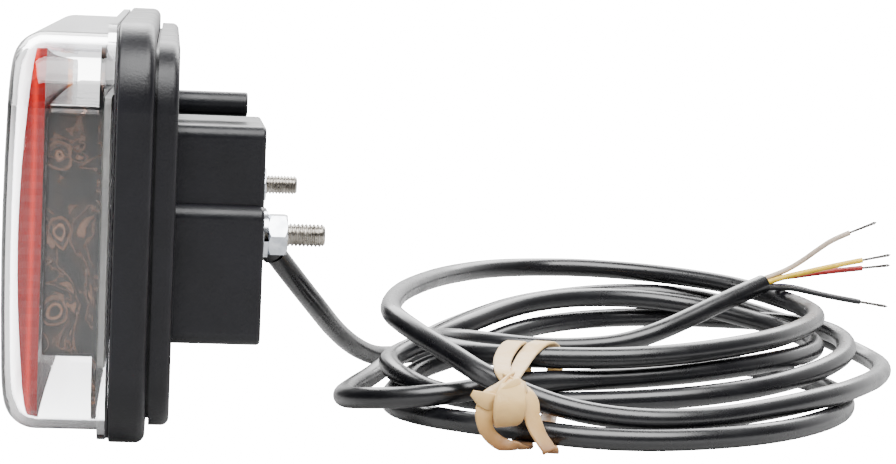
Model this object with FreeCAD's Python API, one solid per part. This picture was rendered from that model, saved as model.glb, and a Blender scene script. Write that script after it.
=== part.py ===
"""Trailer tail light: a wide clear-fronted lamp with two rear studs and a coiled five-core lead.

Frame, in millimetres: the origin is midway between the two stud axes, in the plane of the
rear mounting pads. +X points out of the back along the studs, +Y along the lamp's length
away from the lead end, and +Z up. The lamp stands on the lower edge of its front frame.
"""
import math
import os

import FreeCAD
import Part

V = FreeCAD.Vector

# ---- driving dimensions -------------------------------------------------------------
LAMP_LENGTH = 236.0          # along Y, over the front frame
LAMP_HEIGHT = 104.0          # along Z, over the front frame
LAMP_Z = 1.3                 # height of the lamp's centre above the studs
FRAME_CORNER_R = 21.0

X_PAD = 0.0                  # rear mounting pads
X_STEP_REAR = -21.9          # back wall of the rear housing
X_STEP_FRONT = -27.0
X_FRAME_REAR = -27.7
X_FRAME_FRONT = -36.7
X_RIM_REAR = -37.4           # welding rim of the outer lens
X_RIM_FRONT = -39.4
X_LENS_FRONT = -63.5

STUD_SPACING = 152.0
STUD_R = 3.0                 # M6
STUD_TIP = 16.6
STUD_CHAMFER = 0.8
NUT_FLATS = 10.0
NUT_HEIGHT = 5.0
THREAD_CLEARANCE = 0.04
FLAT_WASHER_T = 0.8
SPRING_WASHER_T = 1.1
WASHER_OUTER_R = 5.9
WASHER_BORE_R = 3.2

WALL = 2.5
LENS_WALL = 2.2
LENS_LENGTH = 230.0
LENS_HEIGHT = 98.0
LENS_CORNER_R = 18.0
LENS_EDGE_R = 8.0
LENS_DOME_RISE = 1.5
RIM_OVERHANG = 2.4
LENS_GAP = 0.6               # between the outer lens and the plates that stand in it

SPIGOT_LENGTH_Y = 223.6
SPIGOT_HEIGHT_Z = 91.6
SPIGOT_R = 14.8
STEP_INSET = 4.4
STEP_DEPTH_CORNER_R = 17.0

NEAR_POD_Y = (-101.0, -50.0)
NEAR_POD_Z = (-25.6, 28.7)
POD_SHOULDER_Z = 9.0         # below this the near pod stands out further towards -Y
POD_SHOULDER = 4.0
FAR_POD_Y = (60.0, 92.0)
FAR_POD_Z = (-16.0, 16.0)
PEG_R = 3.1
PEG_Z = 33.0
PEG_END_X = -4.4

BEZEL_Z = (-28.7, 32.8)
BEZEL_HALF_Y = 106.0
X_BEZEL_FRONT = -53.2
X_BEZEL_REAR = -41.0
BEZEL_WALL = 1.5
SKIRT_FRONT = -40.9
SKIRT_REAR = -39.8

X_RED_REAR = -53.8
RED_EDGE_T = 2.4
RED_DOME_RISE = 2.9
RED_HALF_Y = 110.5
RED_Z = (-44.0, 45.6)

BOARD_FRONT = -39.7
BOARD_T = 1.6
BOARD_Z = (-31.0, 35.0)
BOARD_HALF_Y = 108.0

LAMP_COLUMNS = 10
LAMP_ROWS = 3
COLUMN_PITCH = 20.9
ROW_PITCH = 19.0
CUP_MOUTH_R = 8.2
CUP_BASE_R = 3.2
CUP_WALL = 0.8
RED_COLUMNS = 6              # the other columns are the indicator and the reversing lamp

# where the breather plug and the solder terminals stand
TERMINAL_Z = [-9.0, -4.6, -0.2, 4.2, 8.6]
TERMINAL_Y = -62.0
X_TERMINAL = BOARD_FRONT + BOARD_T + 3.0
VENT_Y = 18.0
VENT_Z = -24.0

CABLE_D = 5.8
CORE_D = 1.7
TIP_D = 0.8
TABLE_Z = LAMP_Z - LAMP_HEIGHT / 2

# the lead leaves the near pod beside its stud and slants down to the table
GLAND_Y = -58.5
GLAND_Z = -1.2
GLAND_TIP = V(4.9, -56.2, -7.2)
LEAD_ROUTE = [(4.9, -56.2, -7.2), (10.6, -49.5, -14.6), (17.6, -34.5, -23.8),
              (24.6, -11.0, -33.6), (32.6, 13.0, -42.0), (41.0, 33.0, -47.5)]
TAIL_ROUTE = [(52.5, -9.0, -35.3), (60.0, 4.0, -37.3), (70.0, 12.0, -39.1),
              (81.0, 15.5, -40.3), (92.0, 17.0, -40.8), (102.0, 17.3, -40.3),
              (112.0, 17.8, -39.1), (122.0, 20.0, -36.3), (134.0, 27.5, -32.3),
              (146.0, 35.0, -27.8), (160.6, 45.0, -23.1)]
CORE_ROUTES = {
    "white": [(160.7, 45.1, -21.5), (166.2, 45.6, -19.6), (171.7, 44.9, -16.2),
              (177.2, 43.8, -11.6), (181.6, 42.9, -8.2), (186.4, 42.2, -6.0)],
    "yellow": [(161.7, 44.0, -22.6), (166.8, 43.9, -20.6), (172.6, 43.6, -19.1),
               (178.4, 43.0, -17.5), (184.5, 42.5, -15.9), (190.9, 42.0, -14.4)],
    "red": [(159.9, 46.3, -22.6), (166.0, 47.6, -21.4), (172.4, 47.3, -20.4),
            (178.8, 46.7, -19.2), (185.4, 46.3, -18.2), (192.0, 46.0, -17.3)],
    "black": [(161.5, 44.6, -24.3), (166.0, 45.3, -24.1), (171.2, 45.6, -24.4),
              (177.4, 45.2, -25.6), (184.2, 45.0, -26.8), (191.6, 44.8, -27.8)],
    "blue": [(160.4, 46.0, -24.3), (165.6, 47.9, -23.8), (171.6, 49.2, -24.3),
             (178.0, 49.0, -25.8), (184.6, 48.4, -27.0), (191.0, 47.8, -27.9)],
}
TIP_LENGTH = 9.5

# the tied coil: an oval ring whose top is low where it is tied and high at the back
COIL_CENTRE = (108.7, -8.3)
COIL_SEMI = (87.5, 91.5)
COIL_HOLE_CENTRE = (108.0, 3.0)
COIL_HOLE_SEMI = (52.0, 47.0)
COIL_HEIGHT = 27.5
COIL_TOP_NORMAL = (0.034, -0.05, 1.0)
COIL_EDGE_R = 5.0
TIE_ANGLE = -121.5
TIE_WIDTH = 9.0
TIE_HEIGHT = 27.0
TIE_RADIAL = (53.0, 94.0)
KNOT_R = 8.0


# ---- shape helpers --------------------------------------------------------------------
def block(x, y, z):
    """A box from three (low, high) pairs."""
    return Part.makeBox(x[1] - x[0], y[1] - y[0], z[1] - z[0], V(x[0], y[0], z[0]))


def rod(radius, start, end):
    """A cylinder between two points."""
    start, end = V(start), V(end)
    return Part.makeCylinder(radius, (end - start).Length, start, end - start)


def slab(x, y, z, corner):
    """A plate from x[0] to x[1] whose outline in Y and Z has round corners."""
    plate = block(x, y, z)
    along = [e for e in plate.Edges if abs(e.tangentAt(e.FirstParameter).x) > 0.99]
    return plate.makeFillet(corner, along)


def centred(length, height, z_mid=LAMP_Z):
    """Y and Z ranges of an outline centred on the lamp."""
    return (-length / 2, length / 2), (z_mid - height / 2, z_mid + height / 2)


def round_off(shape, radius, test):
    """Fillet the edges whose box passes the test."""
    return shape.makeFillet(radius, [e for e in shape.Edges if test(e.BoundBox)])


def flat_at(x, near=0.02):
    """A test for edges that lie in the plane X = x."""
    return lambda b: abs(b.XMin - x) < near and abs(b.XMax - x) < near


def fuse_all(shapes):
    """One solid from shapes that overlap."""
    return shapes[0].fuse(shapes[1:]).removeSplitter()


def bend_at(before, corner, after):
    """Tangent points, middle point and radius of the arc that rounds one route corner."""
    back, ahead = before - corner, after - corner
    reach = 0.45 * min(back.Length, ahead.Length)
    back.normalize()
    ahead.normalize()
    half_turn = (math.pi - back.getAngle(ahead)) / 2
    radius = reach / math.tan(half_turn)
    inward = back + ahead
    inward.normalize()
    middle = corner + inward * (radius / math.cos(half_turn) - radius)
    return corner + back * reach, middle, corner + ahead * reach, radius


def tube(name, points, diameter):
    """A round tube along straight runs joined by tangent arcs."""
    points = [V(*p) for p in points]
    edges, radii, start = [], [], points[0]
    for i in range(1, len(points) - 1):
        arc_in, middle, arc_out, radius = bend_at(points[i - 1], points[i], points[i + 1])
        edges.append(Part.LineSegment(start, arc_in).toShape())
        edges.append(Part.Arc(arc_in, middle, arc_out).toShape())
        radii.append(radius)
        start = arc_out
    edges.append(Part.LineSegment(start, points[-1]).toShape())
    path = Part.Wire(edges)
    ring = Part.Wire(Part.Circle(points[0], points[1] - points[0], diameter / 2).toShape())
    solid = path.makePipeShell([ring], True, False)
    ideal = math.pi * diameter ** 2 / 4 * path.Length
    print(name, "length", round(path.Length, 1), "radii", [round(r) for r in radii],
          "volume ratio", round(solid.Volume / ideal, 4))
    return solid


# ---- lamp front -----------------------------------------------------------------------
def dome_cut(x_front, rise, half_height, z_mid):
    """A wide cylinder along Y whose front crown touches X = x_front."""
    radius = (half_height ** 2 + rise ** 2) / (2 * rise)
    axis_x = x_front + radius
    return rod(radius, (axis_x, -LAMP_LENGTH, z_mid), (axis_x, LAMP_LENGTH, z_mid))


def lens_body(shrink, x_rear):
    """The outer lens as a solid block, shrunk by a wall thickness."""
    y, z = centred(LENS_LENGTH - 2 * shrink, LENS_HEIGHT - 2 * shrink)
    front = X_LENS_FRONT + shrink
    body = slab((front - 1, x_rear), y, z, LENS_CORNER_R - shrink)
    body = body.common(dome_cut(front, LENS_DOME_RISE, LENS_HEIGHT / 2, LAMP_Z))
    front_edges = [e for e in body.Edges if e.BoundBox.XMax < front + LENS_DOME_RISE + 2]
    return body.makeFillet(LENS_EDGE_R - shrink, front_edges)


def outer_lens():
    y, z = centred(LENS_LENGTH + 2 * RIM_OVERHANG, LENS_HEIGHT + 2 * RIM_OVERHANG)
    rim = slab((X_RIM_FRONT, X_RIM_REAR), y, z, LENS_CORNER_R + RIM_OVERHANG)
    shell = lens_body(0, X_RIM_REAR).fuse(rim)
    return shell.cut(lens_body(LENS_WALL, X_RIM_REAR + 1)).removeSplitter()


def lens_seal():
    """Flat seal between the lens rim and the front frame."""
    y, z = centred(LENS_LENGTH + 3.6, LENS_HEIGHT + 3.6)
    hole_y, hole_z = centred(LENS_LENGTH - 3.0, LENS_HEIGHT - 3.0)
    x = (X_RIM_REAR + 0.1, X_FRAME_FRONT - 0.1)
    return slab(x, y, z, LENS_CORNER_R).cut(slab(x, hole_y, hole_z, LENS_CORNER_R - 3))


def red_inner_lens():
    """Domed red diffuser plate that stands behind the clear lens."""
    z_mid = sum(RED_Z) / 2
    half = (RED_Z[1] - RED_Z[0]) / 2
    front = X_RED_REAR - RED_EDGE_T - RED_DOME_RISE
    plate = slab((front - 1, X_RED_REAR), (-RED_HALF_Y, 28.0), RED_Z, 3.0)
    plate = plate.common(dome_cut(front, RED_DOME_RISE, half, z_mid))
    return plate.common(lens_body(LENS_WALL + LENS_GAP, X_RIM_REAR))


def section_lens(y, ribs):
    """Plate of the indicator or the reversing lamp, with upright optic ribs at its back."""
    plate = slab((X_RED_REAR - 2.6, X_RED_REAR), y, RED_Z, 3.0)
    pitch = (y[1] - y[0]) / (ribs + 1)
    bars = [rod(1.0, (X_RED_REAR - 2.6, y[0] + pitch * (i + 1), RED_Z[0] + 6),
                (X_RED_REAR - 2.6, y[0] + pitch * (i + 1), RED_Z[1] - 6)) for i in range(ribs)]
    return fuse_all([plate] + bars).common(lens_body(LENS_WALL + LENS_GAP, X_RIM_REAR))


def cup_places(columns):
    """Y and Z of each lamp cup in the given columns."""
    first = -COLUMN_PITCH * (LAMP_COLUMNS - 1) / 2
    middle = sum(BEZEL_Z) / 2
    return [(first + COLUMN_PITCH * c, middle + ROW_PITCH * (r - 1))
            for c in columns for r in range(LAMP_ROWS)]


def inner_bezel():
    """Glossy black box behind the inner lenses, with a round window for each lamp cup."""
    y = (-BEZEL_HALF_Y, BEZEL_HALF_Y)
    box = slab((X_BEZEL_FRONT, SKIRT_REAR), y, BEZEL_Z, 3.0)
    box = round_off(box, 0.8, flat_at(X_BEZEL_FRONT))
    inner_y = (y[0] + BEZEL_WALL, y[1] - BEZEL_WALL)
    inner_z = (BEZEL_Z[0] + BEZEL_WALL, BEZEL_Z[1] - BEZEL_WALL)
    hollow = slab((X_BEZEL_FRONT + BEZEL_WALL, SKIRT_REAR + 1), inner_y, inner_z, 1.5)
    skirt_y, skirt_z = centred(LENS_LENGTH - 2 * LENS_WALL - 0.6, LENS_HEIGHT - 2 * LENS_WALL - 0.6)
    skirt = slab((SKIRT_FRONT, SKIRT_REAR), skirt_y, skirt_z, LENS_CORNER_R - LENS_WALL)
    windows = [rod(CUP_MOUTH_R + 0.2, (X_BEZEL_FRONT - 1, y, z), (X_BEZEL_FRONT + 2, y, z))
               for y, z in cup_places(range(LAMP_COLUMNS))]
    return box.fuse(skirt).cut([hollow] + windows).removeSplitter()


def cup(y, z):
    """One bright conical reflector cup, open at the lamp and at the front."""
    x_mouth = X_BEZEL_FRONT + 0.2
    x_base = X_BEZEL_REAR - 0.5
    outline = [V(x_mouth, CUP_MOUTH_R - CUP_WALL, 0), V(x_mouth, CUP_MOUTH_R, 0),
               V(x_base, CUP_BASE_R + CUP_WALL, 0), V(x_base, CUP_BASE_R, 0)]
    face = Part.Face(Part.makePolygon(outline + outline[:1]))
    solid = face.revolve(V(0, 0, 0), V(1, 0, 0), 360)
    solid.translate(V(0, y, z))
    return solid


def reflector_cups(columns):
    return Part.makeCompound([cup(y, z) for y, z in cup_places(columns)])


# ---- electronics ----------------------------------------------------------------------
def circuit_board():
    board = slab((BOARD_FRONT, BOARD_FRONT + BOARD_T), (-BOARD_HALF_Y, BOARD_HALF_Y), BOARD_Z, 2.0)
    holes = [rod(1.6, (BOARD_FRONT - 1, y, z), (BOARD_FRONT + 3, y, z)) for y, z in screw_places()]
    return board.cut(holes)


def screw_places():
    middle = sum(BEZEL_Z) / 2
    return [(y, middle + z) for y in (-4 * COLUMN_PITCH, 4 * COLUMN_PITCH)
            for z in (-ROW_PITCH / 2, ROW_PITCH / 2)]


def led_chips():
    chips = []
    for y, z in cup_places(range(LAMP_COLUMNS)):
        chip = block((BOARD_FRONT - 1.1, BOARD_FRONT - 0.02), (y - 1.7, y + 1.7), (z - 1.7, z + 1.7))
        dome = Part.makeSphere(1.0, V(BOARD_FRONT - 1.1, y, z))
        chips.append(chip.fuse(dome).removeSplitter())
    return Part.makeCompound(chips)


def board_screws():
    """Self-tapping screws that hold the board to the bezel, driven from behind."""
    back = BOARD_FRONT + BOARD_T
    screws = []
    for y, z in screw_places():
        head = rod(2.6, (back + 0.05, y, z), (back + 1.9, y, z))
        shank = rod(1.3, (back + 1.0, y, z), (back - 8.0, y, z))
        slot = block((back + 1.2, back + 3), (y - 3, y + 3), (z - 0.4, z + 0.4))
        screws.append(head.fuse(shank).removeSplitter().cut(slot))
    return Part.makeCompound(screws)


def resistors():
    back = BOARD_FRONT + BOARD_T + 0.02
    places = [(-88 + 16.0 * i, z) for i in range(12) for z in (-20.0, 26.0)]
    return Part.makeCompound([block((back, back + 0.6), (y - 1.6, y + 1.6), (z - 0.8, z + 0.8))
                              for y, z in places])


def driver_chips():
    back = BOARD_FRONT + BOARD_T + 0.02
    return Part.makeCompound([block((back, back + 1.6), (y - 2.5, y + 2.5), (z - 3.0, z + 3.0))
                              for y, z in ((-20.0, -8.0), (10.0, -8.0), (40.0, -8.0))])


def capacitors():
    back = BOARD_FRONT + BOARD_T + 0.02
    return Part.makeCompound([round_off(rod(3.15, (back, y, 14.0), (back + 7.0, y, 14.0)), 0.5,
                                        flat_at(back + 7.0)) for y in (-24.0, 4.0)])


def solder_terminals():
    back = BOARD_FRONT + BOARD_T + 0.02
    pins = []
    for z in TERMINAL_Z:
        foot = rod(1.3, (back, TERMINAL_Y, z), (back + 0.7, TERMINAL_Y, z))
        post = rod(0.6, (back, TERMINAL_Y, z), (X_TERMINAL, TERMINAL_Y, z))
        pins.append(foot.fuse(post).removeSplitter())
    return Part.makeCompound(pins)


def inner_leads():
    """The five cores inside the near pod, from the gland to the terminals."""
    leads = []
    for i, z in enumerate(TERMINAL_Z):
        start_z = GLAND_Z + 2.0 * math.sin(math.tau * i / 5)
        start_y = GLAND_Y + 2.0 * math.cos(math.tau * i / 5)
        route = [(-5.2, start_y, start_z), (-11.0, start_y, start_z * 0.9 + z * 0.1),
                 (-20.0, start_y - 1.5, start_z * 0.5 + z * 0.5),
                 (-29.0, TERMINAL_Y + 1.0, z * 0.95), (X_TERMINAL + 0.2, TERMINAL_Y, z)]
        leads.append(tube("inner lead", route, CORE_D - 0.5))
    return Part.makeCompound(leads)


# ---- housing --------------------------------------------------------------------------
def front_frame():
    """Frame that carries the lens: the widest part of the lamp."""
    y, z = centred(LAMP_LENGTH, LAMP_HEIGHT)
    frame = slab((X_FRAME_FRONT, X_FRAME_REAR), y, z, FRAME_CORNER_R)
    frame = round_off(frame, 2.4, flat_at(X_FRAME_REAR))
    frame = round_off(frame, 0.7, flat_at(X_FRAME_FRONT))
    hole_y, hole_z = centred(SPIGOT_LENGTH_Y + 0.4, SPIGOT_HEIGHT_Z + 0.4)
    return frame.cut(slab((X_FRAME_FRONT - 1, X_FRAME_REAR + 1), hole_y, hole_z, SPIGOT_R + 0.2))


def near_pod(shrink):
    """Lead compartment round the near stud, wider below its shoulder."""
    x = (X_STEP_REAR - WALL - 1, X_PAD - shrink)
    y, z = NEAR_POD_Y, NEAR_POD_Z
    upper = slab(x, (y[0] + POD_SHOULDER + shrink, y[1] - shrink), (z[0] + shrink, z[1] - shrink), 3.2)
    lower = slab(x, (y[0] + shrink, y[1] - shrink), (z[0] + shrink, POD_SHOULDER_Z - shrink), 3.2)
    return upper.fuse(lower).removeSplitter()


def far_pod(shrink):
    x = (X_STEP_REAR - WALL - 1, X_PAD - shrink)
    y, z = FAR_POD_Y, FAR_POD_Z
    return slab(x, (y[0] + shrink, y[1] - shrink), (z[0] + shrink, z[1] - shrink), 5.0)


def rear_housing():
    """Back shell with its step, the two stud pods, the locating peg and the board posts."""
    y, z = centred(LAMP_LENGTH - 2 * STEP_INSET, LAMP_HEIGHT - 2 * STEP_INSET)
    step = slab((X_STEP_FRONT, X_STEP_REAR), y, z, STEP_DEPTH_CORNER_R)
    step = round_off(step, 2.0, flat_at(X_STEP_REAR))
    spigot_y, spigot_z = centred(SPIGOT_LENGTH_Y, SPIGOT_HEIGHT_Z)
    spigot = slab((X_FRAME_FRONT + 0.8, X_STEP_FRONT + 1), spigot_y, spigot_z, SPIGOT_R)
    pods = [round_off(pod(0), 1.0, flat_at(X_PAD)) for pod in (near_pod, far_pod)]
    peg = rod(PEG_R, (X_STEP_REAR - 1, -STUD_SPACING / 2, PEG_Z), (PEG_END_X, -STUD_SPACING / 2, PEG_Z))
    peg = round_off(peg, 0.6, flat_at(PEG_END_X))
    shell = fuse_all([step, spigot] + pods + [peg])
    room_y, room_z = centred(SPIGOT_LENGTH_Y - 2 * WALL, SPIGOT_HEIGHT_Z - 2 * WALL)
    room = slab((X_FRAME_FRONT, X_STEP_REAR - WALL), room_y, room_z, SPIGOT_R - WALL)
    holes = [rod(STUD_R + 0.15, (-6, y, 0), (2, y, 0)) for y in stud_places()]
    holes.append(rod(4.2, (-6, GLAND_Y, GLAND_Z), (2, GLAND_Y, GLAND_Z)))
    holes.append(rod(2.5, (-30, VENT_Y, VENT_Z), (-20, VENT_Y, VENT_Z)))
    shell = shell.cut([room, near_pod(WALL), far_pod(WALL)] + holes)
    board_back = BOARD_FRONT + BOARD_T + 0.1
    posts = [rod(3.0, (board_back, y, z), (X_STEP_REAR - 1, y, z))
             for y in (-30.0, 30.0) for z in (-26.0, 30.0)]
    return fuse_all([shell] + posts)


def vent_plug():
    """Breather plug in the back wall."""
    head = round_off(rod(4.6, (X_STEP_REAR + 0.05, VENT_Y, VENT_Z), (X_STEP_REAR + 1.8, VENT_Y, VENT_Z)),
                     0.6, flat_at(X_STEP_REAR + 1.8))
    stem = rod(2.4, (X_STEP_REAR - WALL - 1.2, VENT_Y, VENT_Z), (X_STEP_REAR + 1, VENT_Y, VENT_Z))
    bore = rod(0.8, (X_STEP_REAR - 6, VENT_Y, VENT_Z), (X_STEP_REAR + 1.2, VENT_Y, VENT_Z))
    return head.fuse(stem).removeSplitter().cut(bore)


# ---- studs and their hardware ---------------------------------------------------------
def stud_places():
    return (-STUD_SPACING / 2, STUD_SPACING / 2)


def seat_end():
    """Where the nut's outer face stands when it is tight."""
    return X_PAD + FLAT_WASHER_T + SPRING_WASHER_T + NUT_HEIGHT


def mounting_studs():
    """Square-headed studs, caught inside the pods. The free end is its own length of thread."""
    studs = []
    for y in stud_places():
        free = rod(STUD_R, (seat_end(), y, 0), (STUD_TIP, y, 0))
        free = free.makeChamfer(STUD_CHAMFER, [e for e in free.Edges if flat_at(STUD_TIP)(e.BoundBox)])
        seat = rod(STUD_R, (X_PAD - WALL - 3.0, y, 0), (seat_end(), y, 0))
        head = slab((X_PAD - WALL - 3.6, X_PAD - WALL - 0.05), (y - 5.5, y + 5.5), (-5.5, 5.5), 0.8)
        studs.append(free.fuse([seat, head]))
    return Part.makeCompound(studs)


def washer(y, x, thickness):
    start, end = (x, y, 0), (x + thickness, y, 0)
    return rod(WASHER_OUTER_R, start, end).cut(rod(WASHER_BORE_R, start, end))


def flat_washer(y):
    ring = washer(y, X_PAD + 0.01, FLAT_WASHER_T - 0.02)
    return round_off(ring, 0.15, lambda b: b.YLength > 2 * WASHER_BORE_R + 1)


def spring_washer(y):
    """Split washer with its gap on the side that faces -Y."""
    x = X_PAD + FLAT_WASHER_T + 0.01
    ring = washer(y, x, SPRING_WASHER_T - 0.02)
    gap = block((x - 1, x + 3), (y - 8, y - 1), (-1.4, 1.0))
    return ring.cut(gap)


def hex_nut(y):
    x = X_PAD + FLAT_WASHER_T + SPRING_WASHER_T
    corner_r = NUT_FLATS / 2 / math.cos(math.pi / 6)
    points = [V(x, y - corner_r * math.cos(math.pi * i / 3), corner_r * math.sin(math.pi * i / 3))
              for i in range(6)]
    prism = Part.Face(Part.makePolygon(points + points[:1])).extrude(V(NUT_HEIGHT, 0, 0))
    drop = corner_r - NUT_FLATS / 2
    outline = [V(x, 0, 0), V(x, NUT_FLATS / 2 - 0.1, 0), V(x + drop, corner_r, 0),
               V(x + NUT_HEIGHT - drop, corner_r, 0), V(x + NUT_HEIGHT, NUT_FLATS / 2 - 0.1, 0),
               V(x + NUT_HEIGHT, 0, 0)]
    turned = Part.Face(Part.makePolygon(outline + outline[:1])).revolve(V(0, 0, 0), V(1, 0, 0), 360)
    turned.translate(V(0, y, 0))
    bore = rod(STUD_R + THREAD_CLEARANCE, (x - 1, y, 0), (x + NUT_HEIGHT + 1, y, 0))
    return prism.common(turned).cut(bore)


# ---- lead -----------------------------------------------------------------------------
def cable_gland():
    """Rubber grommet: a button outside, a button inside, and a short slanted sleeve."""
    centre = V(0, GLAND_Y, GLAND_Z)
    outer = round_off(rod(6.4, centre + V(0.05, 0, 0), centre + V(2.2, 0, 0)), 0.8, flat_at(2.2))
    neck = rod(4.1, centre + V(-3.0, 0, 0), centre + V(1, 0, 0))
    inner = rod(5.2, centre + V(-5.0, 0, 0), centre + V(-WALL - 0.05, 0, 0))
    direction = GLAND_TIP - centre
    sleeve = Part.makeCone(4.4, 3.5, direction.Length, centre, direction)
    keep = block((0.1, 20), (-80, -30), (-30, 20))
    return fuse_all([outer, neck, inner, sleeve.common(keep)])


def oval_block(centre, semi_x, semi_y):
    """An upright elliptical block that stands on the table."""
    middle = V(*centre, TABLE_Z + 0.05)
    ends = sorted([V(semi_x, 0, 0), V(0, semi_y, 0)], key=lambda end: -end.Length)
    outline = Part.Ellipse(middle + ends[0], middle + ends[1], middle)
    return Part.Face(Part.Wire(outline.toShape())).extrude(V(0, 0, 2 * COIL_HEIGHT))


def cable_coil():
    """Outer shape of the coiled lead: an oval ring with a sloping top."""
    ring = oval_block(COIL_CENTRE, *COIL_SEMI).cut(oval_block(COIL_HOLE_CENTRE, *COIL_HOLE_SEMI))
    above = Part.makeBox(500, 500, 100, V(-250, -250, 0))
    tilt = FreeCAD.Rotation(V(0, 0, 1), V(*COIL_TOP_NORMAL))
    above.Placement = FreeCAD.Placement(V(*COIL_CENTRE, TABLE_Z + COIL_HEIGHT), tilt)
    ring = ring.cut(above)
    return round_off(ring, COIL_EDGE_R, lambda b: b.ZMin > TABLE_Z + 10 and b.ZLength > 2)


def tie_band(coil):
    """Rubber band over the tied side of the coil, with its knot on the outside."""
    heading = math.radians(TIE_ANGLE)
    out = V(math.cos(heading), math.sin(heading), 0)
    strap = Part.makeBox(TIE_RADIAL[1] - TIE_RADIAL[0], TIE_WIDTH, TIE_HEIGHT,
                         V(TIE_RADIAL[0], -TIE_WIDTH / 2, 0))
    strap.rotate(V(0, 0, 0), V(0, 0, 1), TIE_ANGLE)
    strap.translate(V(*COIL_CENTRE, TABLE_Z + 0.1))
    knot = Part.makeSphere(KNOT_R)
    knot.translate(V(*COIL_CENTRE, TABLE_Z + TIE_HEIGHT / 2) + out * TIE_RADIAL[1])
    return strap.fuse(knot).removeSplitter().cut(coil)


def core_tip(points):
    """Bare strand end that carries on from a core."""
    end, before = V(*points[-1]), V(*points[-2])
    direction = end - before
    direction.normalize()
    return rod(TIP_D / 2, end + direction * 0.05, end + direction * TIP_LENGTH)


# ---- write every node -----------------------------------------------------------------
def build():
    near_y, far_y = stud_places()
    coil = cable_coil()
    nodes = {
        "outer_lens": outer_lens(),
        "lens_seal": lens_seal(),
        "red_inner_lens": red_inner_lens(),
        "indicator_inner_lens": section_lens((29.0, 68.0), 9),
        "reversing_inner_lens": section_lens((69.0, RED_HALF_Y), 9),
        "inner_bezel": inner_bezel(),
        "tail_reflector_cups": reflector_cups(range(RED_COLUMNS)),
        "signal_reflector_cups": reflector_cups(range(RED_COLUMNS, LAMP_COLUMNS)),
        "circuit_board": circuit_board(),
        "led_chips": led_chips(),
        "board_screws": board_screws(),
        "resistors": resistors(),
        "driver_chips": driver_chips(),
        "capacitors": capacitors(),
        "solder_terminals": solder_terminals(),
        "inner_leads": inner_leads(),
        "front_frame": front_frame(),
        "rear_housing": rear_housing(),
        "vent_plug": vent_plug(),
        "mounting_studs": mounting_studs(),
        "near_flat_washer": flat_washer(near_y),
        "near_spring_washer": spring_washer(near_y),
        "near_hex_nut": hex_nut(near_y),
        "far_flat_washer": flat_washer(far_y),
        "far_spring_washer": spring_washer(far_y),
        "far_hex_nut": hex_nut(far_y),
        "cable_gland": cable_gland(),
        "cable_lead": tube("cable_lead", LEAD_ROUTE, CABLE_D),
        "cable_coil": coil,
        "cable_tail": tube("cable_tail", TAIL_ROUTE, CABLE_D),
        "tie_band": tie_band(coil),
    }
    for colour, route in CORE_ROUTES.items():
        nodes[f"{colour}_core"] = tube(f"{colour}_core", route, CORE_D)
        nodes[f"{colour}_core_tip"] = core_tip(route)
    return nodes


os.makedirs("parts", exist_ok=True)
for node, shape in build().items():
    shape.exportStep(f"parts/{node}.step")
    print(node, len(shape.Solids), "valid" if shape.isValid() else "INVALID", round(shape.Volume))
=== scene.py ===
"""Looks of the trailer tail light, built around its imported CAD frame.

Row frame, in metres: +X points out of the lamp's back, +Y along the lamp away from its
lead, +Z up. Points and sizes are written in millimetres and scaled by MM.
"""
import math

import bmesh
import bpy
from mathutils import Matrix, Vector


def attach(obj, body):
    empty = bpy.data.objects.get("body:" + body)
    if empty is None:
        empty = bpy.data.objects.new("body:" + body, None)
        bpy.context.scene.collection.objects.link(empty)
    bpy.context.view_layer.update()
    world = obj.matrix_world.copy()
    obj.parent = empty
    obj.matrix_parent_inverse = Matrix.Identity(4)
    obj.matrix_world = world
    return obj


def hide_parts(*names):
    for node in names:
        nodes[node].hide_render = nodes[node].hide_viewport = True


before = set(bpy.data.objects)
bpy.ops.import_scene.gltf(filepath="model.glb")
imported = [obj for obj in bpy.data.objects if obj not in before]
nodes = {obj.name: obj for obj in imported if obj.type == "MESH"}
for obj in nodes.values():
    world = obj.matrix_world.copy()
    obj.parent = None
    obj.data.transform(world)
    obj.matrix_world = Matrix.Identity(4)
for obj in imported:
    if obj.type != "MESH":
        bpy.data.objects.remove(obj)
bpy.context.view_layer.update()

MM = 0.001
TABLE_Z = -50.7

# ---- camera ---------------------------------------------------------------------------
CAMERA_AT = (-24.5, -735.5, 68.2)
CAMERA_YAW = math.radians(6.302)      # from +Y towards +X
CAMERA_DOWN = math.radians(5.695)
CAMERA_ROLL = math.radians(2.477)
CAMERA_LENS = 103.78

# ---- cords ----------------------------------------------------------------------------
CABLE_D = 5.8
CORE_D = 1.7
COIL_BASE = -47.8                     # centre height of a strand that lies on the table

LEAD_ROUTE = [(4.9, -56.2, -7.2), (10.6, -49.5, -14.6), (17.6, -34.5, -23.8),
              (24.6, -11, -33.6), (32.6, 13, -42)]

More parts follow.
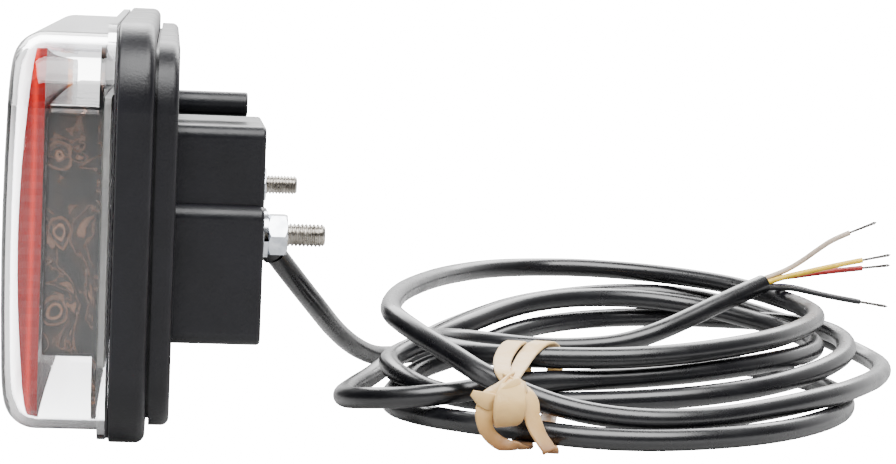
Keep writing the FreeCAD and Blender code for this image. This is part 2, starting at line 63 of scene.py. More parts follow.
# one list a turn: x, y and the height above a strand on the table
TURNS = [
    [(41, 33, .3), (55, 48, 0), (75, 58, 0), (100, 62, 0), (125, 58, 0), (148, 45, 0),
     (163, 24, 0), (170, 3, 0), (171, -15, 0), (168, -33, 0), (161, -50, 0), (148, -68, 0),
     (134, -81, 0), (118, -90, 0), (100, -95.5, 0), (83, -95.5, .4), (68, -89, 1),
     (55, -79, .8), (45, -67, .2), (38.5, -54, 0), (38, -40, 0), (41, -24, 0), (45, -8, 0)],
    [(51, 2, 2.2), (61, 9.5, 4.4), (71, 21, 7), (82, 33.5, 9.3), (93, 46, 10),
     (106, 57, 10.3), (120, 64, 10.5), (135, 65.5, 10.8), (150, 61, 11.3), (163, 53, 12),
     (172, 43, 12.8), (178.5, 32, 12.5), (180.5, 18, 11.5), (177, 3, 10), (169, -13, 9),
     (157, -29, 7.7), (140, -45, 6.4), (120, -55, 5), (100, -59, 4), (80, -60, 3.2),
     (63, -58, 2.8), (50, -50, 3.6), (42, -38, 5.4), (39, -23, 6.5), (40.5, -10, 6.8)],
    [(47, 1, 8), (56, 9, 10.4), (65, 18, 12.8), (75, 30, 15), (86, 41, 16.8), (98, 50, 17.6),
     (111, 57, 17.6), (124, 61, 17), (135, 61.5, 16), (146, 58, 15), (157, 47.5, 13.5),
     (166, 36, 12), (170.5, 22, 11), (169, 7, 10.5), (160.5, -9, 10.5), (148, -26, 11),
     (130, -41, 10.5), (110, -50, 9.5), (90, -55, 8.8), (76, -60, 8.9), (63, -66.5, 8.4),
     (51.5, -71.5, 7), (40, -70.5, 5.4), (31, -64, 4), (26, -54, 2.2), (25, -42, .8),
     (27.5, -29, .1), (31, -17, 0)],
    [(35, -5, 0), (40, 7, 1.2), (47, 19, 4), (57, 31, 8), (70, 43, 11.5), (84, 54, 14.8),
     (100, 63, 16.5), (117, 69.5, 17.6), (134, 72, 17.6), (150, 70, 16), (166, 63, 12.5),
     (180, 53, 8.5), (189, 41, 5.5), (192.5, 26, 4), (190, 9, 4.3), (182, -13, 5),
     (172, -33, 5.9), (162.5, -48, 6.1), (152, -59, 5.8), (142, -67.5, 5.2), (121, -83, 4.2),
     (101.2, -90.3, 4.2), (84.4, -90, 5.6), (71.8, -87, 8.6)],
    [(59, -80, 13.2), (52.5, -72, 16.6), (44.5, -62, 20.4), (38.5, -50, 23.4),
     (37.5, -38, 24), (39.7, -20, 24.5), (44.5, 0, 25), (54, 26, 25), (64, 48, 24.6),
     (78, 66, 24.6), (94, 77, 24.2), (111, 79.5, 24.2), (131, 74, 23.8), (149, 64.5, 22.8),
     (160, 57, 21.3), (168, 47, 19.7), (173, 32, 18.5), (171, 16, 18), (160, -8, 17.8),
     (144, -31, 17.3), (120, -48, 15.9), (99, -56, 15.1), (81, -57.5, 15), (67, -55.5, 14.8),
     (57.5, -48, 14.6), (52, -37, 14.3), (50.5, -24, 13.7)],
]
TAIL_ROUTE = [(52.5, -9, -35.3), (60, 4, -36.9), (70, 12, -38.6), (81, 15.5, -40.2),
              (92, 17, -40.8), (102, 17.3, -40.3), (112, 17.8, -39.1), (122, 20, -36.3),
              (134, 27.5, -32.3), (146, 35, -27.8), (160.6, 45, -23.1)]

CORES = {   # colour, length in metres, route
    "white": ((.52, .42, .33), .0305,
              [(160.7, 45.1, -21.5), (166.2, 45.6, -19.6), (171.7, 44.9, -16.2),
               (177.2, 43.8, -11.6), (181.6, 42.9, -8.2), (186.4, 42.2, -6)]),
    "yellow": ((.86, .56, .02), .0304,
               [(161.7, 44, -22.6), (166.8, 43.9, -20.6), (172.6, 43.6, -19.1),
                (178.4, 43, -17.5), (184.5, 42.5, -15.9), (190.9, 42, -14.4)]),
    "red": ((.36, .012, .012), .0327,
            [(159.9, 46.3, -22.6), (166, 47.6, -21.4), (172.4, 47.3, -20.4),
             (178.8, 46.7, -19.2), (185.4, 46.3, -18.2), (192, 46, -17.3)]),
    "black": ((.014, .014, .016), .0305,
              [(161.5, 44.6, -24.3), (166, 45.3, -24.1), (171.2, 45.6, -24.4),
               (177.4, 45.2, -25.6), (184.2, 45, -26.8), (191.6, 44.8, -27.8)]),
    "blue": ((.012, .014, .075), .0315,
             [(160.4, 46, -24.3), (165.6, 47.9, -23.8), (171.6, 49.2, -24.3),
              (178, 49, -25.8), (184.6, 48.4, -27), (191, 47.8, -27.9)]),
}
TIP_LENGTH = 9.5
STRAND_R = .15
STRAND_REACH = .27                    # from the core's middle to an outer strand
STRAND_LAY = 7                        # length of one full twist
STRAND_STEPS = 24

# ---- the rubber tie: each ribbon is x, y, z and width along its middle -------------------
TIE_THICKNESS = .9
TIE_LIFT = .1                         # least height above the table at the band's middle
TIE_RIBBONS = [
    # first turn over the bundle and under it
    [(63.5, -90, -33.7, 3.6), (62.9, -85, -32.2, 4.2), (65.2, -68, -31.8, 4.8),
     (68.2, -59, -29.7, 5.2), (70.7, -54, -29.4, 5), (72.3, -50.4, -31.4, 4.6),
     (73.2, -49.5, -36, 4.4), (73.5, -51, -42, 4.4), (72.5, -55, -48.6, 4.4),
     (70, -64, -50, 4.4), (68.6, -80, -50.1, 4.4), (67.9, -96, -50.2, 4)],
    # second turn beside it
    [(64.8, -90, -33.7, 3.6), (68.6, -76, -32.6, 4.2), (72.6, -62, -31.2, 4.8),
     (76.2, -56, -29.4, 5), (79.3, -53, -29.6, 4.6), (81.1, -50.2, -31.8, 4.4),
     (82, -49.5, -36, 4.4), (81.5, -51, -42, 4.4), (80, -56, -48.6, 4.4),
     (78, -66, -50, 4.4), (76, -84, -50.1, 4.4), (73.9, -99, -50.1, 4.2)],
    # left loop down to the table
    [(64.5, -89, -33.2, 4), (61.4, -93, -34.4, 4.8), (58.6, -95.6, -37.6, 5.2),
     (57.2, -97, -41.6, 4.6), (57.9, -97.6, -45.6, 3.8), (60.6, -98, -48.4, 3.6),
     (64.4, -98.2, -49.9, 3.6), (68, -96.5, -50.1, 3.8), (69, -90, -50.1, 4)],
    # right loop down to the table
    [(63.4, -89, -33.4, 4), (66.4, -93, -34.6, 4.8), (68.6, -95.6, -37.8, 5),
     (69.2, -97.4, -41.6, 4.6), (70.6, -99.2, -45.4, 4.4), (72.4, -101.4, -48.2, 4.4),
     (73.6, -102.6, -49.7, 4.4), (73.8, -100, -50.1, 4.2), (74.2, -92, -50.1, 4.2)],
    # fold over the front of the knot
    [(64.3, -92, -33.2, 4), (63.9, -97.2, -34.8, 6.4), (63.4, -99.6, -37.8, 8.2),
     (63.1, -99.9, -41, 8), (62.9, -98.6, -43.8, 6.6), (63.2, -95, -44.6, 5)],
    # short end to the left
    [(62.4, -95, -39.6, 4.6), (59, -97.2, -38.6, 4.4), (56.4, -97, -37.8, 3.8),
     (54.1, -95.6, -36.6, 1.6)],
    # band across the knot
    [(58.8, -94.4, -44, 4), (60.6, -96.6, -40, 4.6), (62.8, -97.6, -36.4, 4.4),
     (65.6, -96.6, -34.2, 3.8), (67.8, -94, -35.2, 3.4)],
]
# the way each ribbon's width points, at its start and at its end
TIE_WIDTH_WAY = [((1, -.35, 0), (1, 0, 0)), ((1, -.35, 0), (1, 0, 0)),
                 ((.7, 0, .7), (1, .2, 0)), ((.8, 0, -.6), (1, .2, 0)),
                 ((1, 0, .12), (1, 0, .12)), ((.25, 0, 1), (.25, 0, 1)),
                 ((.8, 0, -.6), (.5, 0, -.85))]

# ---- studs ----------------------------------------------------------------------------
STUD_Y = (-76, 76)
STUD_R = 3.0
STUD_TIP = 16.6
STUD_CHAMFER = .8
STUD_ROOT = -5.5
THREAD_PITCH = 1.0
THREAD_DEPTH = .5
THREAD_STEP = .08                     # spacing of the rings that make the thread
THREAD_SIDES = 40
HEAD_SIDES = 16
STUD_HEAD = (-6.1, -2.55, 5.5)        # back, front and half width


# ---- places that the materials' patterns keep to, in metres ------------------------------
PLATE_FRONT = .0602                   # how far in front of the studs the lens plates start
PLATE_DEPTH = .0066
PRISM = .0016                         # half the pitch of the lens prisms
BEZEL_END = .1035                     # beyond this Y is the bezel's end face
CUP_ROW_Z = .002                      # height of the middle row of cups
CUP_ROW_PITCH = .019
CUP_SHAPE_DEPTH = .0502
LED_BODY_FRONT = -.04085              # in front of this X a chip is phosphor


# ---- material helpers -----------------------------------------------------------------
class Shader:
    """A Principled material whose nodes are added one call at a time."""

    def __init__(self, name, colour, roughness, metallic=0.0, **sockets):
        self.material = bpy.data.materials.new(name)
        self.material.use_nodes = True
        self.tree = self.material.node_tree
        self.bsdf = self.tree.nodes["Principled BSDF"]
        self.place = self.add("ShaderNodeTexCoord").outputs["Object"]
        values = {"Base Color": (*colour, 1), "Roughness": roughness, "Metallic": metallic}
        values.update({key.replace("_", " "): value for key, value in sockets.items()})
        for key, value in values.items():
            self.bsdf.inputs[key].default_value = value

    def add(self, kind, **attributes):
        node = self.tree.nodes.new(kind)
        for key, value in attributes.items():
            setattr(node, key, value)
        return node

    def link(self, source, target):
        self.tree.links.new(source, target)

    def math(self, operation, *values):
        node = self.add("ShaderNodeMath", operation=operation)
        for socket, value in zip(node.inputs, values):
            if isinstance(value, (int, float)):
                socket.default_value = value
            else:
                self.link(value, socket)
        return node.outputs[0]

    def axes(self):
        node = self.add("ShaderNodeSeparateXYZ")
        self.link(self.place, node.inputs[0])
        return node.outputs

    def noise(self, scale, detail=4.0, distortion=0.0, stretch=None):
        node = self.add("ShaderNodeTexNoise")
        node.inputs["Scale"].default_value = scale
        node.inputs["Detail"].default_value = detail
        node.inputs["Distortion"].default_value = distortion
        where = self.place
        if stretch:
            mapping = self.add("ShaderNodeMapping")
            mapping.inputs["Scale"].default_value = stretch
            self.link(self.place, mapping.inputs[0])
            where = mapping.outputs[0]
        self.link(where, node.inputs["Vector"])
        return node.outputs["Fac"]

    def ramp(self, factor, stops, target="Base Color"):
        """Colours, or grey values, along a factor from 0 to 1."""
        node = self.add("ShaderNodeValToRGB")
        elements = node.color_ramp.elements
        while len(elements) < len(stops):
            elements.new(0.5)
        for element, (position, value) in zip(elements, stops):
            element.position = position
            element.color = (*value, 1) if isinstance(value, tuple) else (value,) * 3 + (1,)
        self.link(factor, node.inputs[0])
        if target:
            self.link(node.outputs[0], self.bsdf.inputs[target])
        return node.outputs[0]

    def bump(self, height, strength, distance):
        node = self.add("ShaderNodeBump")
        node.inputs["Strength"].default_value = strength
        node.inputs["Distance"].default_value = distance * MM
        self.link(height, node.inputs["Height"])
        if self.bsdf.inputs["Normal"].links:
            self.link(self.bsdf.inputs["Normal"].links[0].from_socket, node.inputs["Normal"])
        self.link(node.outputs[0], self.bsdf.inputs["Normal"])
        return self

    def grained(self, dark, light, rough, scale=120, grain=2600, depth=.05, strength=.3):
        """Blotchy colour, uneven gloss and a fine surface grain."""
        self.ramp(self.noise(scale), [(.35, dark), (.65, light)])
        self.ramp(self.noise(scale * 2.3, 3), [(.3, rough[0]), (.7, rough[1])], "Roughness")
        return self.bump(self.noise(grain, 2), strength, depth)


def housing_plastic():
    s = Shader("housing_plastic", (.004, .004, .006), .4, Specular_IOR_Level=.36)
    return s.grained((.002, .002, .0035), (.004, .004, .0065), (.33, .44), 60, 1500, .1, .5)


def sheath_rubber():
    s = Shader("sheath_rubber", (.004, .004, .005), .27, Specular_IOR_Level=.75)
    return s.grained((.0025, .0025, .0035), (.005, .005, .0065), (.24, .33), 45, 1900, .05, .18)


def soft_rubber():
    s = Shader("soft_rubber", (.02, .02, .022), .6)
    return s.grained((.014, .014, .016), (.026, .026, .028), (.52, .68), 150, 1700, .08, .4)


def clear_lens():
    s = Shader("clear_lens", (.98, .98, 1), .03, Transmission_Weight=1.0, IOR=1.45)
    facing = s.add("ShaderNodeLayerWeight")
    facing.inputs["Blend"].default_value = .35
    s.ramp(facing.outputs["Facing"], [(.0, (1, 1, 1)), (.7, (.975, .975, 1)), (1, (.8, .77, .98))])
    s.ramp(s.noise(70, 3), [(.4, .008), (.75, .03)], "Roughness")
    return s.bump(s.noise(26, 2), .03, .2)


def lens_plate(name, deep, painted_lit, clear):
    """Coloured plastic with a grid of small prisms and a painted band of light, paler along the
    edge of the plate.
    """
    s = Shader(name, painted_lit, .16, Transmission_Weight=clear, IOR=1.49, Specular_IOR_Level=.22)
    x, y, z = s.axes()
    edge = s.math("MULTIPLY_ADD", x, 1 / PLATE_DEPTH, PLATE_FRONT / PLATE_DEPTH)
    painted_lit_band = s.math("ADD", edge, s.math("MULTIPLY", s.noise(30, 3, 0, (1, .3, .12)), .22))
    # painted light: the deep colour turns to a lit copy of itself in a band across the plate's
    # depth
    s.ramp(painted_lit_band, [(.3, deep), (.58, deep), (.74, painted_lit), (.86, deep), (1, deep)])
    s.ramp(s.noise(240, 3), [(.3, .1), (.7, .24)], "Roughness")
    prism = s.math("ADD", s.math("PINGPONG", y, PRISM), s.math("PINGPONG", z, PRISM))
    return s.bump(s.math("MULTIPLY", prism, 500), .35, .5)


def bezel_gloss():
    """Smoked mirror film: near-black with copper swirls and three cup shapes at its ends."""
    s = Shader("bezel_gloss", (.01, .008, .008), .1, .6, Coat_Weight=.1, Coat_Roughness=.05)
    x, y, z = s.axes()
    end_face = s.math("GREATER_THAN", s.math("ABSOLUTE", y), BEZEL_END)
    row = s.math("WRAP", z, CUP_ROW_Z + CUP_ROW_PITCH / 2, CUP_ROW_Z - CUP_ROW_PITCH / 2)
    up = s.math("SUBTRACT", row, CUP_ROW_Z)
    out = s.math("ADD", x, CUP_SHAPE_DEPTH)
    radius = s.math("SQRT", s.math("ADD", s.math("MULTIPLY", up, up),
                                   s.math("MULTIPLY", out, out)))
    swirl = s.noise(62, 4, 2.4, (1, 1, .8))
    eye = s.math("ADD", s.math("MULTIPLY", radius, 95), s.math("MULTIPLY", swirl, .55))
    rings = s.ramp(eye, [(.3, .0), (.4, .75), (.46, .05), (.58, .5), (.66, 0)], None)
    flow = s.ramp(swirl, [(.46, 0), (.54, .4), (.6, .08), (.66, .6), (.76, .03)], None)
    both = s.math("MULTIPLY", s.math("MAXIMUM", rings, flow), end_face)
    s.ramp(both, [(0, (.004, .0035, .004)), (.25, (.03, .015, .01)),
                  (.7, (.2, .1, .06)), (1, (.42, .26, .18))])
    s.ramp(s.noise(140, 3), [(.3, .07), (.7, .17)], "Roughness")
    return s.bump(swirl, .25, .8)


def metal(name, dark, light, rough, scale=500, depth=.03):
    s = Shader(name, light, rough[0], 1.0)
    s.ramp(s.noise(scale, 5, .4), [(.32, dark), (.68, light)])
    s.ramp(s.noise(scale * 1.9, 3), [(.3, rough[0]), (.7, rough[1])], "Roughness")
    return s.bump(s.noise(scale * 5, 2), .25, depth)


def solid(name, dark, light, rough, scale=400, grain=2500, **sockets):
    s = Shader(name, light, rough[0], **sockets)
    return s.grained(dark, light, rough, scale, grain)


def circuit_board():
    s = solid("board_mask", (.5, .5, .48), (.66, .66, .63), (.25, .4), 90)
    z = s.axes()[2]
    lines = s.math("GREATER_THAN", s.math("PINGPONG", z, .0019), .0016)
    gate = s.math("GREATER_THAN", s.noise(38, 2, 0, (1, .25, 1)), .52)
    return s.bump(s.math("MULTIPLY", lines, gate), .6, .04)


def led_body():
    s = Shader("led_body", (.8, .78, .6), .3, Subsurface_Weight=.1)
    x = s.axes()[0]
    s.ramp(s.math("GREATER_THAN", x, LED_BODY_FRONT), [(0, (.78, .55, .1)), (1, (.8, .8, .76))])
    return s.bump(s.noise(1500, 2), .2, .03)


def latex():
    s = Shader("latex", (.62, .43, .23), .5, Subsurface_Weight=.12,
               Subsurface_Radius=(.004, .0025, .0012), Sheen_Weight=.2)
    # painted shade: darker brown towards the table and lighter on top, with random blotches
    painted_shade_height = s.math("MULTIPLY_ADD", s.axes()[2], 55, 2.62)
    painted_shade_and_blotches = s.math("ADD", painted_shade_height, s.math("MULTIPLY", s.noise(210, 4, .6), .35))
    s.ramp(painted_shade_and_blotches, [(0, (.2, .08, .018)), (.35, (.44, .25, .075)), (.8, (.64, .42, .16))])
    s.ramp(s.noise(420, 4), [(.3, .42), (.7, .62)], "Roughness")
    s.bump(s.noise(260, 5, .8, (1, .5, 1)), .7, .45)
    return s.bump(s.noise(2200, 2), .3, .05)


def core_plastic(name, colour):
    dark = tuple(c * .75 for c in colour)
    return solid(name, dark, colour, (.28, .42), 260, 2400, Specular_IOR_Level=.5)


def inner_wires():
    s = solid("inner_wires", (.02, .02, .02), (.3, .3, .3), (.3, .42), 300)
    s.ramp(s.math("PINGPONG", s.math("MULTIPLY", s.axes()[1], 130), 1),
           [(.1, (.5, .02, .02)), (.4, (.7, .5, .03)), (.65, (.02, .03, .2)), (.9, (.6, .55, .5))])
    return s


def board_parts():
    """The small parts that stand on the board."""
    return {
        "circuit_board": circuit_board(),
        "led_chips": led_body(),
        "board_screws": metal("screw_steel", (.28, .27, .26), (.55, .54, .52), (.25, .4)),
        "resistors": solid("resistor_ink", (.012, .012, .016), (.05, .05, .06), (.3, .5), 900),
        "driver_chips": solid("chip_epoxy", (.012, .012, .013), (.03, .03, .03), (.45, .6), 700),
        "capacitors": solid("capacitor_sleeve", (.02, .02, .05), (.03, .035, .09), (.2, .35)),
        "solder_terminals": metal("solder", (.4, .4, .41), (.75, .75, .76), (.16, .34), 700),
        "inner_leads": inner_wires(),
    }


def paint(materials):
    for name, shader in materials.items():
        mesh = nodes[name].data
        mesh.materials.clear()
        mesh.materials.append(shader.material)


# ---- mesh helpers ---------------------------------------------------------------------
def piece(name, data, shader):
    obj = bpy.data.objects.new(name, data)
    bpy.context.scene.collection.objects.link(obj)
    data.materials.append(shader.material)
    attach(obj, "lamp")
    return obj


def spline_curve(name, points, diameter, resolution=6):
    """A round cord on one open NURBS spline."""
    curve = bpy.data.curves.new(name, "CURVE")
    curve.dimensions = "3D"
    curve.bevel_depth = diameter * MM / 2
    curve.bevel_resolution = resolution
    curve.use_fill_caps = True
    curve.resolution_u = 8
    spline = curve.splines.new("NURBS")
    spline.points.add(len(points) - 1)
    for target, point in zip(spline.points, points):
        target.co = (*(c * MM for c in point), 1)
    spline.order_u = 3
    spline.use_endpoint_u = True
    return curve


def smooth_rows(rows, parts):
    """Catmull-Rom values between rows of numbers."""
    rows = [Vector(row) for row in rows]
    padded = [rows[0] * 2 - rows[1]] + rows + [rows[-1] * 2 - rows[-2]]
    out = []
    for i in range(1, len(padded) - 2):
        a, b, c, d = padded[i - 1:i + 3]
        for k in range(parts):
            t = k / parts
            out.append(0.5 * (2 * b + (c - a) * t + (2 * a - 5 * b + 4 * c - d) * t ** 2
                              + (3 * b - a - 3 * c + d) * t ** 3))
    return out + [rows[-1]]


def skin(bm, rings):
    """Quads between equal rings of vertices, with a face over each end."""
    for first, second in zip(rings, rings[1:]):
        for i in range(len(first)):
            j = (i + 1) % len(first)
            bm.faces.new((first[i], first[j], second[j], second[i]))
    bm.faces.new(rings[0][::-1])
    bm.faces.new(rings[-1])


def finish_mesh(bm, name, smooth=True):
    bmesh.ops.recalc_face_normals(bm, faces=bm.faces)
    for face in bm.faces:
        face.smooth = smooth
    mesh = bpy.data.meshes.new(name)
    bm.to_mesh(mesh)
    bm.free()
    return mesh


def sweep_ribbon(bm, rows, width_ways, thickness):
    """A flat band with rounded edges along rows of x, y, z and width."""
    line = smooth_rows(rows, 6)
    first_way, last_way = (Vector(way).normalized() for way in width_ways)
    outline = [(-.5, -.25), (-.42, -.5), (0, -.56), (.42, -.5), (.5, -.25), (.5, .25),
               (.42, .5), (0, .56), (-.42, .5), (-.5, .25)]
    rings = []
    for i, row in enumerate(line):
        tangent = Vector(line[min(i + 1, len(line) - 1)][:3]) - Vector(line[max(i - 1, 0)][:3])
        tangent.normalize()
        way = first_way.lerp(last_way, i / (len(line) - 1))
        across = (way - tangent * way.dot(tangent)).normalized()
        normal = tangent.cross(across)
        ring = []
        for u, v in outline:
            point = Vector(row[:3]) + across * (u * row[3]) + normal * (v * thickness)
            point.z = max(point.z, TABLE_Z + TIE_LIFT * (v + 1))
            ring.append(bm.verts.new(point * MM))
        rings.append(ring)
    skin(bm, rings)


def rubber_tie():
    bm = bmesh.new()
    for rows, way in zip(TIE_RIBBONS, TIE_WIDTH_WAY):
        sweep_ribbon(bm, rows, way, TIE_THICKNESS)
    return finish_mesh(bm, "rubber_tie")


def threaded_studs():
    """Both studs: a helical thread with a chamfered tip, and the square head inside."""
    bm = bmesh.new()
    count = int((STUD_TIP - STUD_ROOT) / THREAD_STEP)
    for centre_y in STUD_Y:
        rings = []
        for i in range(count + 1):
            x = STUD_ROOT + i * (STUD_TIP - STUD_ROOT) / count
            limit = min(STUD_R, STUD_R - STUD_CHAMFER + (STUD_TIP - x))
            ring = []
            for k in range(THREAD_SIDES):
                turn = k / THREAD_SIDES
                phase = (x / THREAD_PITCH - turn) % 1
                ridge = min(1, max(0, 1.15 - abs(phase - .5) * 2.5))
                radius = min(STUD_R - THREAD_DEPTH * (1 - ridge), limit)
                angle = 2 * math.pi * turn
                ring.append(bm.verts.new(Vector((x, centre_y + radius * math.cos(angle),
                                                 radius * math.sin(angle))) * MM))
            rings.append(ring)
        skin(bm, rings)
        painted_shade_height, high, half = STUD_HEAD
        rings = []
        for x, size in ((painted_shade_height, half - .5), (painted_shade_height + .5, half), (high - .4, half), (high, half - .4)):
            ring = []
            for k in range(HEAD_SIDES):
                angle = 2 * math.pi * (k + .5) / HEAD_SIDES
                reach = size / max(abs(math.cos(angle)), abs(math.sin(angle)))
                reach = min(reach, size * 1.3)
                ring.append(bm.verts.new(Vector((x, centre_y + reach * math.cos(angle),
                                                 reach * math.sin(angle))) * MM))
            rings.append(ring)
        skin(bm, rings)
    return finish_mesh(bm, "threaded_studs")


def strand_bundle(name, start, direction):
    """Seven twisted wires that carry on straight from a core's end."""
    bm = bmesh.new()
    way = Vector(direction).normalized()
    side = way.orthogonal().normalized()
    other = way.cross(side)
    for wire in range(7):
        rings = []
        reach = 0 if wire == 6 else STRAND_REACH
        length = TIP_LENGTH - (wire % 3) * .35
        for i in range(STRAND_STEPS + 1):
            along = length * i / STRAND_STEPS
            angle = math.tau * (wire / 6 + along / STRAND_LAY)
            spread = reach * (1 + .5 * (i / STRAND_STEPS) ** 3)
            centre = Vector(start) + way * (along - .6) \
                + (side * math.cos(angle) + other * math.sin(angle)) * spread
            rings.append([bm.verts.new((centre + (side * math.cos(math.tau * k / 6)
                                                  + other * math.sin(math.tau * k / 6))
                                        * STRAND_R) * MM) for k in range(6)])
        skin(bm, rings)
    return finish_mesh(bm, name)


# ---- camera first, then the cords -------------------------------------------------------
def make_camera():
    forward = Vector((math.sin(CAMERA_YAW) * math.cos(CAMERA_DOWN),
                      math.cos(CAMERA_YAW) * math.cos(CAMERA_DOWN), -math.sin(CAMERA_DOWN)))
    level = Vector((math.cos(CAMERA_YAW), -math.sin(CAMERA_YAW), 0))
    above = level.cross(forward)
    right = level * math.cos(CAMERA_ROLL) + above * math.sin(CAMERA_ROLL)
    up = above * math.cos(CAMERA_ROLL) - level * math.sin(CAMERA_ROLL)
    data = bpy.data.cameras.new("camera")
    data.lens = CAMERA_LENS
    data.sensor_width = 36
    data.clip_start = .01
    data.clip_end = 50
    camera = bpy.data.objects.new("camera", data)
    bpy.context.scene.collection.objects.link(camera)
    turn = Matrix((right, up, -forward)).transposed().to_4x4()
    camera.matrix_world = Matrix.Translation(Vector(CAMERA_AT) * MM) @ turn
    bpy.context.scene.camera = camera


def make_cable(sheath):
    points = list(LEAD_ROUTE)
    for turn in TURNS:
        for x, y, height in turn:
            points.append((x, y, COIL_BASE + height))
    points += TAIL_ROUTE
    curve = spline_curve("sheathed_cable", points, CABLE_D, 8)
    cable = piece("sheathed_cable", curve, sheath)
    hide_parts("cable_lead", "cable_coil", "cable_tail")


def make_core(name, colour, route, strand_metal):
    curve = spline_curve(name + "_wire", route, CORE_D, 5)
    core = piece(name + "_wire", curve, core_plastic(name + "_plastic", colour))
    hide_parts(name + "_core")
    direction = Vector(route[-1]) - Vector(route[-2])
    mesh = strand_bundle(name + "_strands", route[-1], direction)
    strands = piece(name + "_strands", mesh, strand_metal)
    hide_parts(name + "_core_tip")


# ---- floor and light ------------------------------------------------------------------
WORLD_FILL = (.12, 2.2)           # towards the camera side, and behind the lamp
WORLD_SEEN = 20.0
FLOOR_SEEN = 19.0
FLOOR_FILL = .12
FLOOR_HALF = 6                        # metres
FLOOR_GAP = .05                       # below the table height, in millimetres
WITHIN_SHARE = .09             # of that, for what lights the parts behind the lens
MIRRORED_SHARE = .01          # of that, after a reflection inside the lens


def seen_brighter(tree, socket, fill, seen):
    """Strength `seen` for rays that reach the camera straight or through clear plastic, a
    share of it for rays mirrored or scattered behind the lens, and `fill` for the rest."""
    path = tree.nodes.new("ShaderNodeLightPath")

    def combine(operation, first, second):
        node = tree.nodes.new("ShaderNodeMath")
        node.operation = operation
        tree.links.new(first, node.inputs[0])
        if isinstance(second, float):
            node.inputs[1].default_value = second
        else:
            tree.links.new(second, node.inputs[1])
        return node

    undimmed = combine("LESS_THAN", path.outputs["Diffuse Depth"], .5)
    through = combine("MULTIPLY", path.outputs["Is Transmission Ray"], undimmed.outputs[0])
    straight = combine("LESS_THAN", path.outputs["Glossy Depth"], .5)
    mirrored = combine("MAXIMUM", straight.outputs[0], MIRRORED_SHARE)
    share = combine("MULTIPLY", through.outputs[0], mirrored.outputs[0])
    scattered = combine("GREATER_THAN", path.outputs["Diffuse Depth"], .5)
    within = combine("MULTIPLY", scattered.outputs[0], path.outputs["Is Transmission Ray"])
    within = combine("MULTIPLY", within.outputs[0], WITHIN_SHARE)
    share = combine("MAXIMUM", share.outputs[0], within.outputs[0])
    either = combine("MAXIMUM", path.outputs["Is Camera Ray"], share.outputs[0])
    power = tree.nodes.new("ShaderNodeMapRange")
    power.inputs["To Min"].default_value = fill
    power.inputs["To Max"].default_value = seen
    tree.links.new(either.outputs[0], power.inputs["Value"])
    tree.links.new(power.outputs[0], socket)
    return power


def make_floor():
    bm = bmesh.new()
    bmesh.ops.create_grid(bm, x_segments=1, y_segments=1, size=FLOOR_HALF)
    mesh = finish_mesh(bm, "floor", smooth=False)
    floor = bpy.data.objects.new("floor", mesh)
    floor.location = (0, 0, (TABLE_Z - FLOOR_GAP) * MM)
    bpy.context.scene.collection.objects.link(floor)
    paper = Shader("floor_paper", (.36, .36, .36), .9)
    paper.bsdf.inputs["Emission Color"].default_value = (1, 1, 1, 1)
    seen_brighter(paper.tree, paper.bsdf.inputs["Emission Strength"], FLOOR_FILL, FLOOR_SEEN)
    mesh.materials.append(paper.material)


def make_world():
    world = bpy.data.worlds.new("studio")
    bpy.context.scene.world = world
    world.use_nodes = True
    tree = world.node_tree
    back = tree.nodes["Background"]
    back.inputs["Color"].default_value = (1, 1, 1, 1)
    power = seen_brighter(tree, back.inputs["Strength"], WORLD_FILL[0], WORLD_SEEN)
    way = tree.nodes.new("ShaderNodeTexCoord")
    axes = tree.nodes.new("ShaderNodeSeparateXYZ")
    behind = tree.nodes.new("ShaderNodeMapRange")
    behind.inputs["From Min"].default_value = .1
    behind.inputs["From Max"].default_value = .85
    behind.inputs["To Min"].default_value = WORLD_FILL[0]
    behind.inputs["To Max"].default_value = WORLD_FILL[1]
    tree.links.new(way.outputs["Generated"], axes.inputs[0])
    tree.links.new(axes.outputs["Y"], behind.inputs["Value"])
    tree.links.new(behind.outputs[0], power.inputs["To Min"])


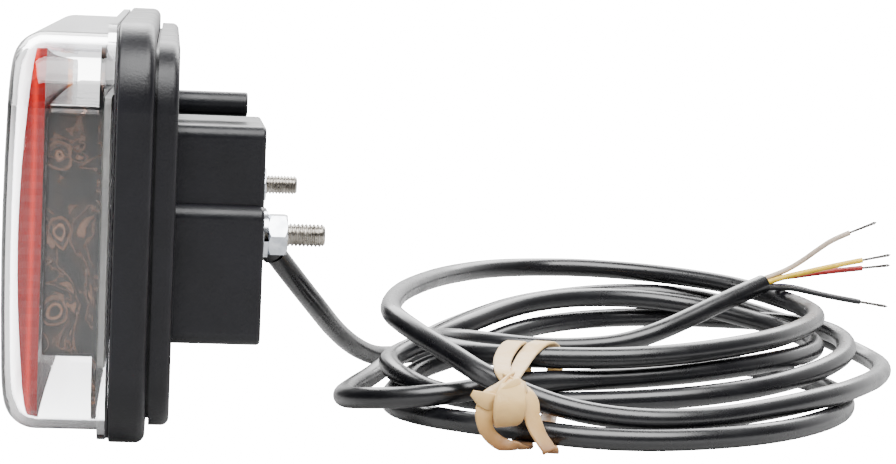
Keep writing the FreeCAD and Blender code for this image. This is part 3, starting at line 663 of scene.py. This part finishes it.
def make_light(name, at, towards, size, watts, colour=(1, 1, 1)):
    data = bpy.data.lights.new(name, "AREA")
    data.shape = "RECTANGLE"
    data.size, data.size_y = size
    data.energy = watts
    data.color = colour
    light = bpy.data.objects.new(name, data)
    light.location = at
    light.rotation_euler = (Vector(towards) - Vector(at)).to_track_quat("-Z", "Y").to_euler()
    bpy.context.scene.collection.objects.link(light)


# ---- build ----------------------------------------------------------------------------
make_camera()

tie = piece("rubber_tie", rubber_tie(), latex())
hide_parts("tie_band")
make_cable(sheath_rubber())
strand_metal = metal("tinned_strand", (.05, .045, .04), (.2, .19, .18), (.3, .45), 900)
for core_name, (colour, length, route) in CORES.items():
    make_core(core_name, colour, route, strand_metal)

stud_zinc = metal("stud_zinc", (.3, .28, .25), (.62, .59, .54), (.22, .36), 420)
studs = piece("threaded_studs", threaded_studs(), stud_zinc)
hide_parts("mounting_studs")

zinc = metal("bright_zinc", (.52, .55, .6), (.86, .89, .94), (.12, .26), 260)
chrome = metal("cup_chrome", (.78, .78, .79), (.95, .95, .95), (.04, .1), 200, .01)
plastic = housing_plastic()
rubber = soft_rubber()
paint(board_parts())
paint({
    "outer_lens": clear_lens(),
    "lens_seal": rubber,
    "red_inner_lens": lens_plate("red_lens", (.22, .0004, .0002), (.6, .012, .002), .04),
    "indicator_inner_lens": lens_plate("amber_lens", (.75, .2, .01), (.95, .4, .05), .6),
    "reversing_inner_lens": lens_plate("white_lens", (.85, .86, .88), (.97, .97, .97), .8),
    "inner_bezel": bezel_gloss(),
    "tail_reflector_cups": chrome,
    "signal_reflector_cups": chrome,
    "front_frame": plastic,
    "rear_housing": plastic,
    "vent_plug": rubber,
    "cable_gland": rubber,
})
for side in ("near", "far"):
    paint({side + part: zinc for part in ("_flat_washer", "_spring_washer", "_hex_nut")})

make_floor()
make_world()
make_light("key", (.25, -.7, 1.3), (.06, -.02, -.02), (1.7, 1.1), 75)
make_light("back", (.1, 1.1, .9), (.06, 0, 0), (2.0, .9), 60)
make_light("left", (-1.2, -.5, .4), (-.03, 0, 0), (.6, 1.2), 14)
